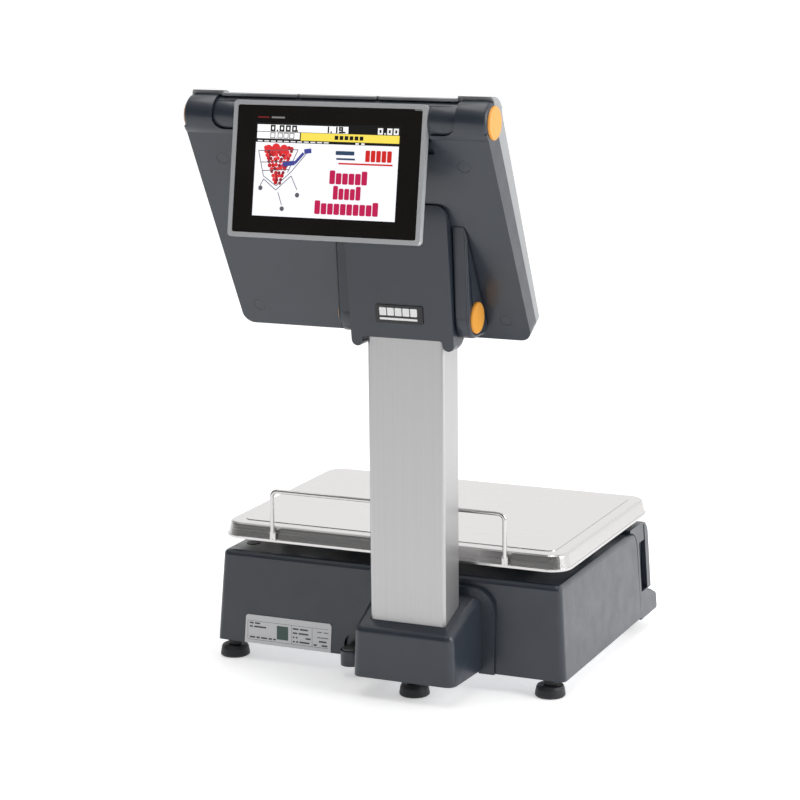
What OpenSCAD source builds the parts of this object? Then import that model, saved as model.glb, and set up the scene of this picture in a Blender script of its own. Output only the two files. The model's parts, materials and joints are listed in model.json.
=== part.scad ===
// Counter price scale: a low base with a platter, a rear column, a tilting operator head
// and a customer display. The operator stands on the -Y side, the customer on the +Y side,
// and the feet stand on z = 0. The origin is the bottom centre of the whole scale.

/* [Base] */
// Width of the base across its lower edge
base_w = 395.2; // [385:0.2:405]
// Height of the base's top face
base_top = 114; // [111:0.5:117]
// Height of the walls' lower edge
base_low = 15.5; // [15:0.5:17]
// Outer face of the rear wall at its lower edge
rear_y = 79.7; // [79:0.1:81]
// How far each side wall leans in from its lower edge to the top
side_draft = 6.6; // [5:0.2:8]
// How far the rear wall leans in from its lower edge to the top
rear_draft = 4.3; // [3:0.1:5]
// Wall thickness of the moulded covers
wall = 2.8; // [2.4:0.1:3]
// Outer radius of the levelling feet's pads
foot_r = 15.6; // [13:0.1:16]
// How far the feet are screwed out beyond their shortest setting
foot_out = 3; // [0:0.5:8]

/* [Front module] */
// Outer face of the front door
door_y = -200.5; // [-201:0.1:-200]
// Height of the module's top strip
module_top = 118; // [117:0.5:119]
// Foremost face of the sill
sill_y = -217.3; // [-219:0.1:-215]

/* [Platter] */
// Width of the platter
platter_w = 389; // [380:0.2:395]
// Depth of the platter, front to back
platter_d = 275; // [265:1:276]
// Height of the platter's lower hem
platter_low = 126.7; // [125:0.1:128]
// Height of the platter's top face
platter_top = 144; // [142:0.5:146]
// Distance between the guard rail's two posts
rail_w = 262; // [220:2:280]
// Height of the guard rail's wire above the floor
rail_top = 183; // [170:1:200]
// Diameter of the guard rail's wire
wire_d = 4.6; // [4:0.1:5]

/* [Column] */
// Centre of the column, left or right of the base's centre
column_x = -49.5; // [-51:0.5:-48]
// Width of the column tube
column_w = 82.4; // [80:0.2:84]
// Rear face of the column, towards the platter
column_back = 95.8; // [95:0.1:97]
// Front face of the column, towards the customer
column_front = 133.5; // [131:0.1:134]
// Height of the tilt pivot
pivot_z = 389.2; // [388:0.2:390]
// Tilt pivot, from the origin towards the customer
pivot_y = 118.7; // [118.2:0.1:119.2]

/* [Head] */
// Width of the head
head_w = 316.8; // [310:0.4:320]
// Centre of the head, left or right of the base's centre
head_x = -4; // [-5:0.5:0]
// Lean of the head's back face from vertical
head_tilt = 28.66; // [28.2:0.02:29]
// Length of the head's back face below the barrel
head_len = 225.9; // [222:0.1:228]
// Radius of the barrel along the head's top
barrel_r = 20.4; // [20:0.1:20.8]

/* [Customer display] */
// Width of the display's frame
display_w = 202; // [198:0.5:204]
// Height of the display's frame
display_h = 131; // [128:0.5:132]
// Lean of the display's face back from vertical
display_lean = 9.6; // [9:0.1:10]

/* [Hidden] */
$fn = 48;

foot_places = [[182, 68.5], [-178, 68.5], [150, -135], [-150, -135], [column_x, 117.7]];
seam_y = -163;                    // front edge of the housing's side walls
seam_r = 20;                      // rounding of the side walls' upper front corner
low_z = 12.9;                     // lower edge of the front module
door_low = 42;                    // lower edge of the door
door_r = 16.5;                    // rounding of the door's top edge
door_end_y = -189.3;              // rear edge of the door's side returns
door_axis = [-194.5, 46];         // hinge axis of the door, [y, z]
cheek_in = 184;                   // inner face of the module's cheeks
tongue_out = 188.3;               // the cheek's tongue inside the door's side return
pivot = [pivot_y, pivot_z];
neck_half = 54.6;                 // half the neck's width
neck_lean = 7.65;                 // lean of the neck's front face
neck_front_y = 140.5;             // the neck's front face at neck_ref_z
neck_ref_z = 365;
neck_top = 502;
arm_in = 55.5;                    // inner face of a tilt arm, from the column's centre
arm_out = 70;                     // outer face of a tilt arm, from the column's centre
head_ref = [188.8, 560.4];        // a point on the head's back face, [y, z]
barrel = [-18.7, 16.7];           // barrel axis in the head's own frame, [y, z]
recess_half = 127;                // half the width of the barrel's recess
lip_half = 123;                   // half the width of the bezel's lip over the display's barrel
lip_y = -25;                      // edge of that lip
cap_r = 15.9;                     // orange caps on the barrel's ends
display_ref = [-2, 208, 536.5];   // centre of the display's face
display_axis = [-19.3, 51.4];     // barrel axis in the display's own frame, [y, z]
platter_y = 72.5 - platter_d / 2; // centre of the platter
platen = [-176, 78];              // platen roller's axis, [y, z]
roll = [-105, 64];                // paper roll's axis, [y, z]
rear_rim = 72.6;                  // rear face of the platter's rim
cable_z = 34;                     // height at which the cable enters the column
bracket_screw_z = [44, 68];       // heights of the screws that hold the column
bracket_screw_y = column_back + 17;
boss_places = [[165, 30], [-165, 30], [165, -110], [-165, -110]];
column_foot = foot_places[4];
level_at = [36, 87];              // centre of the bubble level, [x, y]
plug_at = [172, 40];              // centre of the round plug in the top face
inlet_y = 30;                     // centre of the power module
inlet_z = 61;
rocker_y = 45;
spider_z = 119.6;                 // lower face of the spider's arms
pan_top = base_low + 2.5;
insert_r = 6;                     // outer radius of the feet's brass inserts
gear_module = 0.8;
platen_teeth = 24;
pinion_teeth = 12;
gear_centres = gear_module * (platen_teeth + pinion_teeth) / 2 + 0.15;

dark = "#3d4450";
grey = "#c9cbcd";
orange = "#f2a93a";
steel = "#c4c6c8";

// ---------- helpers ----------

// Lifts the child by what the feet are screwed out. All heights below are from their shortest setting.
module on_feet() translate([0, 0, foot_out]) children();

// Extrudes a [y, z] outline along x
module along_x(x0, x1) translate([x0, 0, 0]) rotate([90, 0, 90]) linear_extrude(x1 - x0) children();

// Extrudes an [x, z] outline along y
module along_y(y0, y1) translate([0, y1, 0]) rotate([90, 0, 0]) linear_extrude(y1 - y0) children();

// A cylinder along x
module rod_x(x0, x1, r, at) translate([x0, at[0], at[1]]) rotate([0, 90, 0]) cylinder(r = r, h = x1 - x0);

// A box from its lowest to its highest corner
module block(low, high) translate(low) cube(high - low);

// A flat outline with round corners, centred
module round_rect(w, h, r) {
    square([w - 2 * r, h], center = true);
    square([w, h - 2 * r], center = true);
    for (x = [-1, 1], y = [-1, 1]) translate([x * (w / 2 - r), y * (h / 2 - r)]) circle(r = r);
}

// The child and its mirror image across the base's centre
module both_sides() {
    children();
    mirror([1, 0, 0]) children();
}

// The child and its mirror image across the column's centre
module both_arms() {
    translate([column_x, 0, 0]) both_sides() children();
}

// Places the child in the head's frame: +y out of the back face, +z up along it
module in_head() translate([head_x, head_ref[0], head_ref[1]]) rotate([-head_tilt, 0, 0]) children();

// Places the child in the operator face's frame: -y out of the face, +z up along it
module in_face() in_head() translate([0, -40.5, 10]) rotate([3.33, 0, 0]) children();

// Places the child in the display's frame: +y out of the glass, +z up along it
module in_display() translate(display_ref) rotate([display_lean, 0, 0]) children();

// The head's back face as a height-to-y rule
function head_back_y(z) = head_ref[0] - (head_ref[1] - z) * tan(head_tilt);

// The neck's front face as a height-to-y rule
function neck_face_y(z) = neck_front_y + (z - neck_ref_z) * tan(neck_lean);

// ---------- base ----------

// The base's drafted block with rounded upright corners and a rounded top edge
module base_form(inset) {
    corner = 6.5 - inset;
    edge = 5.5 - inset;
    front = -190;
    hull() {
        for (s = [-1, 1], end = [0, 1]) {
            x0 = s * (base_w / 2 - inset - corner);
            x1 = s * (base_w / 2 - side_draft - inset - corner);
            y0 = end == 0 ? front : rear_y - inset - corner;
            y1 = end == 0 ? front : rear_y - rear_draft - inset - corner;
            translate([x0, y0, base_low - (inset > 0 ? 1 : 0)]) cylinder(r = corner, h = 0.1, $fn = 32);
            for (a = [0 : 30 : 90])
                translate([x1, y1, base_top - inset - edge + edge * sin(a) - 0.05])
                    cylinder(r = corner - edge + edge * cos(a), h = 0.05, $fn = 32);
        }
    }
}

// Side view of the housing: square to the rear, one round corner at the upper front
module housing_side(gap) {
    translate([seam_y + seam_r, 0]) square([400, 200]);
    translate([seam_y - gap, 0]) square([seam_r + 1, base_top - seam_r]);
    translate([seam_y + seam_r, base_top - seam_r]) circle(r = seam_r + gap);
}

module base_housing() {
    color(dark) on_feet()
    difference() {
        union() {
            difference() {
                intersection() {
                    base_form(0);
                    along_x(-220, 220) housing_side(0);
                }
                base_form(wall);
            }
            // bosses that the pan screws into
            for (p = boss_places) translate([p[0], p[1], 22]) cylinder(r = 5, h = base_top - 22 - wall);
        }
        for (p = boss_places) translate([p[0], p[1], 21]) cylinder(r = 1.5, h = 30);
        // opening for the spider's post
        translate([50, platter_y, base_top - 10]) cylinder(r = 26, h = 20);
        // seat of the round plug
        translate([plug_at[0], plug_at[1], base_top - 1.4]) cylinder(r = 7.6, h = 5);
        // arch over the bubble level
        along_y(rear_y - 14, rear_y + 5) {
            translate([level_at[0], 27.6]) circle(r = 11.4);
            translate([level_at[0] - 11.4, 0]) square([22.8, 27.6]);
        }
        // column bracket and cable way
        block([column_x - 46, rear_y - 12, 10], [column_x + 46, rear_y + 5, 24.2]);
        along_y(rear_y - 12, rear_y + 5) translate([column_x, cable_z]) circle(r = 6);
        // cut-out for the power module in the side wall, and the seat of its flange
        block([180, inlet_y - 27, inlet_z - 13], [210, inlet_y + 27, inlet_z + 13]);
        translate([193.9, inlet_y, inlet_z]) rotate([0, 90, 0]) linear_extrude(10) round_rect(29.6, 60.6, 4.3);
    }
}

module base_pan() {
    color(steel) on_feet()
    difference() {
        union() {
            block([-189, -160, base_low], [189, 74, base_low + 2.5]);
            for (p = foot_places)
                if (p[1] < 100) translate([p[0], p[1] - 0.8, base_low + 2.4]) cylinder(r = 8, h = 16);
            both_sides() block([186.5, -150, base_low + 2.4], [189, 60, base_low + 12]);
        }
        for (p = foot_places) translate([p[0], p[1], 0]) cylinder(r = insert_r, h = 50);
        for (p = boss_places) translate([p[0], p[1], 0]) cylinder(r = 1.8, h = 60);
        block([column_x - 44, 60, 0], [column_x + 44, 80, base_low + 1.5]);
    }
}

module foot_inserts() {
    color("#b08d57") on_feet()
    for (p = foot_places)
        translate([p[0], p[1], base_low + (p[1] > 100 ? 3.2 : 0.2)])
            difference() {
                cylinder(r = insert_r, h = 17);
                translate([0, 0, -1]) cylinder(r = 4.05, h = 30);
            }
}

module base_screws() {
    color(steel) on_feet()
    for (p = boss_places)
        translate([p[0], p[1], base_low - 1.6]) {
            cylinder(r = 3.6, h = 1.6);
            cylinder(r = 1.45, h = 18);
        }
}

// One moulded levelling foot: pad, neck and threaded stem
module levelling_foot(place, neck_z) {
    shoulder = neck_z + foot_out;
    top = shoulder + 19;
    color("#23262b")
    translate([place[0], place[1], 0])
        rotate_extrude()
            polygon([[0, 0], [foot_r - 1, 0], [foot_r, 1], [foot_r, 2.6], [foot_r - 1.1, 9], [foot_r - 2.2, 11.2],
                [foot_r - 4.4, 12.2], [7.25, 12.2], [7.25, shoulder], [4, shoulder], [4, top], [0, top]]);
}

module foot_1() levelling_foot(foot_places[0], base_low - 0.3);
module foot_2() levelling_foot(foot_places[1], base_low - 0.3);
module foot_3() levelling_foot(foot_places[2], base_low - 0.3);
module foot_4() levelling_foot(foot_places[3], base_low - 0.3);
module foot_5() levelling_foot(column_foot, base_low + 2.6);

module rating_plate() {
    color("#c8c8c4") on_feet()
    translate([0, rear_y, base_low]) rotate([atan(rear_draft / (base_top - base_low)), 0, 0])
        along_y(0.03, 0.6) {
            polygon([[62.9, 0.2], [61.8, 29], [64, 31.2], [160.5, 31.2], [162.6, 29], [164.3, 0.2]]);
        }
}

module level_cup() {
    color(dark) on_feet()
    difference() {
        union() {
            translate([level_at[0], level_at[1], 9]) cylinder(r = 11, h = 16);
            // arm that rests on the pan
            block([level_at[0] - 10, 74.5, 11], [level_at[0] + 10, level_at[1], 24]);
            block([level_at[0] - 10, 58, pan_top], [level_at[0] + 10, level_at[1], 24]);
            // plate behind the arch
            block([level_at[0] - 13, 72.8, pan_top], [level_at[0] + 13, 75.2, 44]);
        }
        translate([level_at[0], level_at[1], 21]) cylinder(r = 9.2, h = 10);
    }
}

module level_vial() {
    color("#dfe8c8") on_feet()
    translate([level_at[0], level_at[1], 21]) {
        cylinder(r = 9.1, h = 6);
        intersection() {
            translate([0, 0, -10.2]) sphere(r = 18.6);
            translate([0, 0, 5.9]) cylinder(r = 9.1, h = 6);
        }
    }
}

module top_plug() {
    color("#2d3238") on_feet()
    translate([plug_at[0], plug_at[1], base_top - 1.4]) cylinder(r = 7.4, h = 1.8);
}

// ---------- front module ----------

// Outline of the base across its width, drafted as the side walls are
module front_outline() {
    grow = (base_low - low_z) * side_draft / (base_top - base_low);
    shrink = (module_top - base_top) * side_draft / (base_top - base_low);
    x0 = base_w / 2 + grow;
    x1 = base_w / 2 - side_draft - shrink;
    polygon([[-x0, low_z], [x0, low_z], [x1, module_top], [-x1, module_top]]);
}

// Side view of the door: a plate that curves back at its top
module door_side(inset) {
    translate([door_y + inset, door_low - 1]) square([door_r - inset + 20, module_top - door_r - door_low + 1]);
    translate([door_y + door_r, module_top - door_r]) circle(r = door_r - inset);
    translate([door_y + door_r, module_top - door_r]) square([20, door_r - inset]);
}

module sill_side() {
    polygon([[seam_y, low_z], [sill_y + 1.8, low_z], [sill_y, low_z + 1.8], [sill_y, 28.4], [-214.9, 31],
        [door_y, 38], [seam_y, 38]]);
}

module sill_hollow() {
    polygon([[seam_y + 1, low_z + 3], [sill_y + 3, low_z + 3], [sill_y + 3, 27], [-213, 28.6],
        [-198.2, 35.4], [-198.2, 40], [seam_y + 1, 40]]);
}

module front_module() {
    color(dark) on_feet()
    intersection() {
        along_y(-230, -100) front_outline();
        difference() {
            union() {
                // sill
                difference() {
                    along_x(-200, 200) sill_side();
                    along_x(-cheek_in, cheek_in) sill_hollow();
                }
                // cheeks
                both_sides() difference() {
                    along_x(cheek_in, 200) {
                        translate([door_y, 37]) square([seam_y - door_y, module_top - 37]);
                        translate([seam_y - 0.1, 90]) square([seam_r, module_top - 90]);
                    }
                    // the door's own space
                    along_x(tongue_out, 201) translate([door_y - 1, door_low - 0.6])
                        square([door_end_y + 0.4 - door_y + 1, 90]);
                    along_x(180, 201) translate([door_y - 1, 38.4]) square([4.8, 90]);
                    along_x(180, 201) translate([door_y - 1, module_top - door_r - 8]) square([door_r - 1, 30]);
                    // finger recess behind the door's side return
                    block([tongue_out, door_end_y - 1, 43], [201, -169, 98]);
                    rod_x(180, tongue_out + 1, 2.53, door_axis);
                    // room for the door's lower edge as it swings
                    rod_x(tongue_out, 201, 7.6, door_axis);
                }
                // top strip
                block([-200, -185.9, module_top - 3.4], [200, seam_y + seam_r, module_top]);
            }
            // the housing, with a narrow seam round it
            along_x(-210, 210) housing_side(0.4);
        }
    }
}

module front_door() {
    color(dark) on_feet()
    intersection() {
        along_y(-230, -100) front_outline();
        difference() {
            union() {
                // curved front plate
                intersection() {
                    along_x(-200, 200) difference() {
                        door_side(0);
                        door_side(3);
                    }
                    block([-200, -230, door_low], [200, -186.3, 140]);
                }
                // side returns
                both_sides() intersection() {
                    along_x(189, 200) door_side(0);
                    block([180, -230, door_low], [210, door_end_y, 140]);
                }
                // hinge lugs
                both_sides() {
                    rod_x(176, 183.6, 4.4, door_axis);
                    block([176, door_y + 2, door_low], [183.6, door_axis[0], door_axis[1] + 4.4]);
                }
            }
            both_sides() {
                rod_x(170, 186, 2.55, door_axis);
                // notch round the cheek's tongue
                block([183.5, -230, 40], [tongue_out + 0.4, -190, door_axis[1] + 3]);
            }
            // label exit
            block([78, -230, 70.5], [146, -190, 85]);
        }
    }
}

module door_pins() {
    color(steel) on_feet()
    both_sides() rod_x(176.4, tongue_out, 2.5, door_axis);
}

// ---------- weighing ----------

module load_cell_mount() {
    color(steel) on_feet() block([-65, platter_y - 15, pan_top], [-35, platter_y + 15, 44]);
}

module load_cell() {
    color("#b9bcc0") on_feet()
    difference() {
        block([-65, platter_y - 15, 44], [65, platter_y + 15, 66]);
        for (x = [-9, 9]) translate([x, platter_y + 20, 55]) rotate([90, 0, 0]) cylinder(r = 8, h = 40);
        block([-9, platter_y - 20, 52], [9, platter_y + 20, 58]);
    }
}

module platter_spider() {
    color("#3a3d42") on_feet()
    union() {
        translate([50, platter_y, 66]) cylinder(r = 15, h = spider_z - 65);
        translate([0, platter_y, spider_z]) {
            linear_extrude(6) round_rect(150, 70, 12);
            for (s = [-1, 1]) rotate([0, 0, s * 31])
                translate([-172, -11, 0]) cube([344, 22, 7]);
        }
    }
}

module platter_bumpers() {
    color("#1d1d1f") on_feet()
    for (s = [-1, 1], t = [-1, 1])
        translate([s * 138, platter_y + t * 83, spider_z + 7]) cylinder(r = 8, h = platter_top - 1.8 - spider_z - 7);
}

// The platter's drafted form: straight skirt, round fold, flat top
module platter_form(inset, low, high) {
    skirt = 12 - inset;
    fold = 3.5 - inset;
    hull() for (s = [-1, 1], t = [-1, 1]) {
        translate([s * (platter_w / 2 - 22), platter_y + t * (platter_d / 2 - 22), low]) {
            cylinder(r = 21.2 - inset, h = 0.1, $fn = 48);
            for (a = [0 : 30 : 90])
                translate([0, 0, high - low - fold + fold * sin(a) - 0.1])
                    cylinder(r = 18.6 - inset - fold + fold * cos(a), h = 0.1, $fn = 48);
        }
    }
}

module platter() {
    sheet = 1.2;
    color("#d8d8d8") on_feet()
    difference() {
        union() {
            platter_form(0, platter_low + 2, platter_top - 0.6);
            // hem round the lower edge
            translate([0, platter_y, platter_low]) linear_extrude(2.6) round_rect(platter_w, platter_d, 22);
            // pressed plateau
            translate([0, platter_y, platter_top - 0.7]) linear_extrude(0.7)
                round_rect(platter_w - 36, platter_d - 36, 10);
        }
        platter_form(sheet, platter_low - 1, platter_top - 0.6 - sheet);
    }
}

module guard_rail() {
    bend = 7;
    post_x = rail_w / 2;
    post_y = rear_rim + wire_d / 2;
    foot_z = platter_low + 4.2;
    color(steel) on_feet()
    difference() {
        union() {
            both_sides() {
                translate([post_x, post_y, foot_z + 6]) cylinder(d = wire_d, h = rail_top - bend - foot_z - 6);
                translate([post_x - bend, post_y, rail_top - bend]) rotate([90, 0, 0])
                    rotate_extrude(angle = 90) translate([bend, 0]) circle(d = wire_d);
                // flattened foot, spot-welded to the platter's rim
                along_y(rear_rim, rear_rim + 2.4) translate([post_x, foot_z]) {
                    circle(r = 3.2);
                    polygon([[-3.2, 0], [3.2, 0], [3.2, 6.5], [wire_d / 2, 10], [-wire_d / 2, 10], [-3.2, 6.5]]);
                }
            }
            rod_x(-post_x + bend, post_x - bend, wire_d / 2, [post_y, rail_top]);
        }
        both_sides() translate([post_x, rear_rim + 3, foot_z]) rotate([90, 0, 0]) cylinder(r = 0.9, h = 1);
    }
}

// ---------- printer ----------

module printer_chassis() {
    color("#8d9094") on_feet()
    difference() {
        union() {
            block([78, -186, pan_top + 0.1], [158, -64, 23]);
            for (x = [78, 143, 156]) along_x(x, x + (x == 156 ? 2 : 3)) polygon(
                x == 156 ? [[-186, 22], [-145, 22], [-145, 92], [-186, 92]]
                    : [[-186, 22], [-186, 100], [-150, 100], [-118, 82], [-80, 82], [-64, 60], [-64, 22]]);
            rod_x(80, 144, 3, [-70, 30]);
        }
        rod_x(70, 150, 2.05, platen);
        rod_x(150, 160, 3, platen);
        rod_x(70, 150, 6.05, roll);
        // clear of the levelling foot's post
        translate([foot_places[2][0], foot_places[2][1], 15]) cylinder(r = 9.4, h = 24);
        rod_x(150, 160, 3, [platen[0] + gear_centres, platen[1]]);
    }
}

module print_head() {
    color("#2f3236") on_feet()
    union() {
        block([81, -184, platen[1] + 7.6], [143, -172, platen[1] + 12]);
        block([86, -186, platen[1] + 12], [138, -164, platen[1] + 20]);
    }
}

// Points of one spur gear's outline, with involute flanks
function involute(r, t) = [r * (cos(t) + t * PI / 180 * sin(t)), r * (sin(t) - t * PI / 180 * cos(t))];
function turned(p, a) = [p[0] * cos(a) - p[1] * sin(a), p[0] * sin(a) + p[1] * cos(a)];
function gear_points(teeth) =
    let (pitch = gear_module * teeth / 2, base = pitch * cos(20), tip = pitch + gear_module * 0.9,
        root = pitch - gear_module * 1.2, start = max(base, root), slack = 2.2,
        t_tip = sqrt(pow(tip / base, 2) - 1) * 180 / PI, t_pitch = tan(20) * 180 / PI,
        off = 90 / teeth - slack / teeth * 2 + t_pitch - 20)
    [for (i = [0 : teeth - 1]) let (a = i * 360 / teeth) each [
        turned([root, 0], a - off), for (k = [0 : 3]) turned(involute(base, t_tip * k / 3), a - off),
        for (k = [3 : -1 : 0]) let (p = involute(base, t_tip * k / 3)) turned([p[0], -p[1]], a + off),
        turned([root, 0], a + off)]];

module platen_roller() {
    color("#26282b") on_feet()
    union() {
        rod_x(76, 155, 2, platen);
        rod_x(84, 140, 7, platen);
        translate([148.5, platen[0], platen[1]]) rotate([90, 0, 90])
            linear_extrude(6) polygon(gear_points(platen_teeth));
    }
}

module motor_pinion() {
    color("#c9a35a") on_feet()
    translate([0, platen[0] + gear_centres, platen[1]]) {
        translate([149, 0, 0]) rotate([90, 0, 90]) rotate([0, 0, 180 + 180 / pinion_teeth])
            linear_extrude(5) polygon(gear_points(pinion_teeth));
        rotate([0, 90, 0]) translate([0, 0, 153.9]) cylinder(r = 1.2, h = 14);
    }
}

module printer_motor() {
    color("#3b3d40") on_feet()
    translate([0, platen[0] + gear_centres, platen[1]]) rotate([0, 90, 0]) difference() {
        translate([0, 0, 158]) cylinder(r = 12.5, h = 20);
        translate([0, 0, 157]) cylinder(r = 1.25, h = 15);
    }
}

module roll_axle() {
    color("#d0d0cc") on_feet() {
        rod_x(76, 148, 6, roll);
        rod_x(84, 140, 12.6, roll);
    }
}

module paper_roll() {
    color("#f4f2ec") on_feet()
    difference() {
        rod_x(84, 140, 30, roll);
        rod_x(80, 144, 12.7, roll);
    }
}

// ---------- electrics in the base ----------

module power_supply() {
    color("#b5b7b9") on_feet()
    difference() {
        block([75, -50, pan_top + 0.1], [159.4, 48, 58]);
        block([77, -48, 22.2], [157.4, 46, 56]);
        for (y = [-36 : 12 : 36]) block([95, y, 50], [140, y + 4, 70]);
    }
}

module base_board() {
    color("#2c5a3c") on_feet()
    union() {
        block([-158, -60, 25], [-80, 50, 26.6]);
        block([-154, -50, 26.5], [-138, -30, 34]);
        block([-120, -20, 26.5], [-95, 5, 29]);
        block([-100, 34, 26.5], [-84, 48, 36]);
        for (y = [-50 : 14 : 30]) translate([-128, y, 26.5]) cylinder(r = 4, h = 12);
        for (x = [-156, -86], y = [-58, 12]) block([x, y, pan_top], [x + 4, y + 4, 25.1]);
    }
}

module mains_inlet() {
    socket_y = inlet_y - 12;
    color("#1c1d20") on_feet()
    difference() {
        union() {
            block([170.4, inlet_y - 26, inlet_z - 12], [194.4, inlet_y + 26, inlet_z + 12]);
            translate([194, inlet_y, inlet_z]) rotate([0, 90, 0]) linear_extrude(2.6) round_rect(29, 60, 4);
        }
        // socket with round corners
        translate([180, socket_y, inlet_z]) rotate([0, 90, 0]) linear_extrude(30) round_rect(17, 24, 3);
        // bay of the rocker, and the holes of its trunnions
        block([184, rocker_y - 7, inlet_z - 9], [210, rocker_y + 7, inlet_z + 9]);
        translate([191, rocker_y + 9, inlet_z]) rotate([90, 0, 0]) cylinder(r = 1.3, h = 18);
    }
    color(steel) on_feet()
    for (d = [[-7, 0], [0, 3.5], [7, 0]])
        block([179, socket_y + d[0] - 1, inlet_z + d[1] - 2], [193, socket_y + d[0] + 1, inlet_z + d[1] + 2]);
}

module power_rocker() {
    color("#7d1f1f") on_feet()
    translate([191, rocker_y, inlet_z]) rotate([0, -9, 0]) {
        along_y(-6.6, 6.6)
            polygon([[0, -8], [5.4, -8], [4.2, 0], [5.4, 8], [0, 8], [-3, 2.5], [-3, -2.5]]);
        translate([0, 8.6, 0]) rotate([90, 0, 0]) cylinder(r = 1.25, h = 17.2);
    }
}

// ---------- column ----------

// Slot in the column's rear wall that the cable comes in through
module cable_slot() {
    translate([column_x - 5, cable_z]) square([10, 9]);
    for (z = [cable_z, cable_z + 9]) translate([column_x, z]) circle(r = 5);
}

module column_bracket() {
    inner_w = column_w - 5.6;
    color("#7e8286") on_feet()
    difference() {
        union() {
            block([column_x - 42, 20, base_low + 2.6], [column_x + 42, 138, base_low + 5.6]);
            block([column_x - inner_w / 2, column_back + 3, 22], [column_x + inner_w / 2, column_front - 3, 118]);
            translate([column_foot[0], column_foot[1], base_low + 5]) cylinder(r = 9, h = 16);
        }
        difference() {
            block([column_x - inner_w / 2 + 2, column_back + 5, base_low + 5.6],
                [column_x + inner_w / 2 - 2, column_front - 5, 130]);
            translate([column_foot[0], column_foot[1], base_low + 5]) cylinder(r = 9, h = 16);
        }
        translate([column_foot[0], column_foot[1], 0]) cylinder(r = insert_r, h = 60);
        along_y(column_back, column_back + 10) cable_slot();
        for (z = bracket_screw_z) rod_x(column_x - 60, column_x + 60, 2.15, [bracket_screw_y, z]);
    }
}

module column_screws() {
    color(steel) on_feet()
    both_arms() for (z = bracket_screw_z) {
        rod_x(column_w / 2, column_w / 2 + 2.2, 4.2, [bracket_screw_y, z]);
        rod_x(column_w / 2 - 9, column_w / 2 + 0.5, 2.1, [bracket_screw_y, z]);
    }
}

module column_tube() {
    d = column_front - column_back;
    mid = (column_front + column_back) / 2;
    color("#d3d4d6") on_feet()
    difference() {
        translate([column_x, mid, base_low + 5.7]) linear_extrude(450) difference() {
            round_rect(column_w, d, 3.5);
            round_rect(column_w - 5, d - 5, 1);
        }
        // mitred top, parallel to the head's back face
        along_x(column_x - 60, column_x + 60) polygon([[60, head_slope(60)], [160, head_slope(160)], [160, 700], [60, 700]]);
        // tilt shaft, cable way and screws
        rod_x(column_x - 60, column_x + 60, 8.2, pivot);
        along_y(column_back - 1, column_back + 6) cable_slot();
        for (z = bracket_screw_z) rod_x(column_x - 60, column_x + 60, 2.15, [bracket_screw_y, z]);
    }
}
// Height of the column's mitre at depth y
function head_slope(y) = head_ref[1] - (head_ref[0] + 5.6 - y) / tan(head_tilt);

module column_foot_cover() {
    x = column_x;
    low = base_low + 1.5;
    color(dark) on_feet()
    difference() {
        union() {
            // flange on the rear wall
            along_y(rear_y - 4.2, rear_y + 2.6) {
                translate([x - 72.7, base_low - 0.5]) square([145.4, 67]);
                translate([x - 48.7, base_low]) square([97.4, 89.3]);
                for (s = [-1, 1]) translate([x + s * 48.7, base_low + 65.3]) circle(r = 24);
            }
            // fairing under the column
            hull() for (s = [-1, 1]) {
                translate([x + s * 46, 139.3, low + 2]) cylinder(r = 10, h = 1, $fn = 40);
                translate([x + s * 45.4, 139.8, low + 48]) sphere(r = 8.6, $fn = 40);
                translate([x + s * 51, 80, low + 2]) cylinder(r = 8, h = 1, $fn = 40);
                translate([x + s * 50, 80, low + 71]) sphere(r = 8, $fn = 40);
            }
        }
        // hollow under the fairing
        hull() for (s = [-1, 1]) {
            translate([x + s * 46, 139.3, low - 5]) cylinder(r = 7.2, h = 1, $fn = 24);
            translate([x + s * 45.4, 139.4, low + 47]) sphere(r = 5.8, $fn = 24);
            translate([x + s * 51, 72, low - 5]) cylinder(r = 5.2, h = 1, $fn = 24);
            translate([x + s * 50, 72, low + 72]) sphere(r = 5.2, $fn = 24);
        }
        // the base's rear wall is inside the flange
        base_form(-0.05);
        // column
        block([x - column_w / 2 - 0.3, column_back - 0.3, 10], [x + column_w / 2 + 0.3, column_front + 0.3, 130]);
        // bubble level
        translate([level_at[0], level_at[1], 0]) cylinder(r = 11.8, h = 60);
    }
}

// The cable from the base board through the column to the neck
module column_harness() {
    r = 3.2;
    bend = 12;
    up_y = column_back + 8.5;
    color("#202225") on_feet()
    union() {
        rod_x(-84, column_x - bend, r, [41, cable_z]);
        translate([column_x - bend, 41 + bend, cable_z]) rotate([0, 0, -90])
            rotate_extrude(angle = 90) translate([bend, 0]) circle(r = r);
        translate([column_x, 41 + bend, cable_z]) rotate([-90, 0, 0]) cylinder(r = r, h = up_y - 41 - 2 * bend);
        translate([column_x, up_y - bend, cable_z + bend]) rotate([0, 90, 0])
            rotate_extrude(angle = 90) translate([bend, 0]) circle(r = r);
        translate([column_x, up_y, cable_z + bend]) cylinder(r = r, h = 366 - cable_z - bend);
        translate([column_x - 9, up_y - 5, 362]) cube([18, 9, 9]);
    }
}

// ---------- neck ----------

module tilt_bracket() {
    color("#8b8e92") on_feet()
    difference() {
        both_arms() along_x(column_w / 2 + 0.1, column_w / 2 + 5) polygon([[104, 374], [131, 374], [131, 414],
            [123, 414], [104, 396]]);
        rod_x(column_x - 60, column_x + 60, 8, pivot);
    }
}

module tilt_bushes() {
    color("#e8e4d8") on_feet()
    both_arms() difference() {
        union() {
            rod_x(column_w / 2 - 2.4, 55, 8, pivot);
            rod_x(column_w / 2 + 5.1, column_w / 2 + 6.6, 11, pivot);
        }
        rod_x(0, 60, 6.05, pivot);
    }
}

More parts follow.
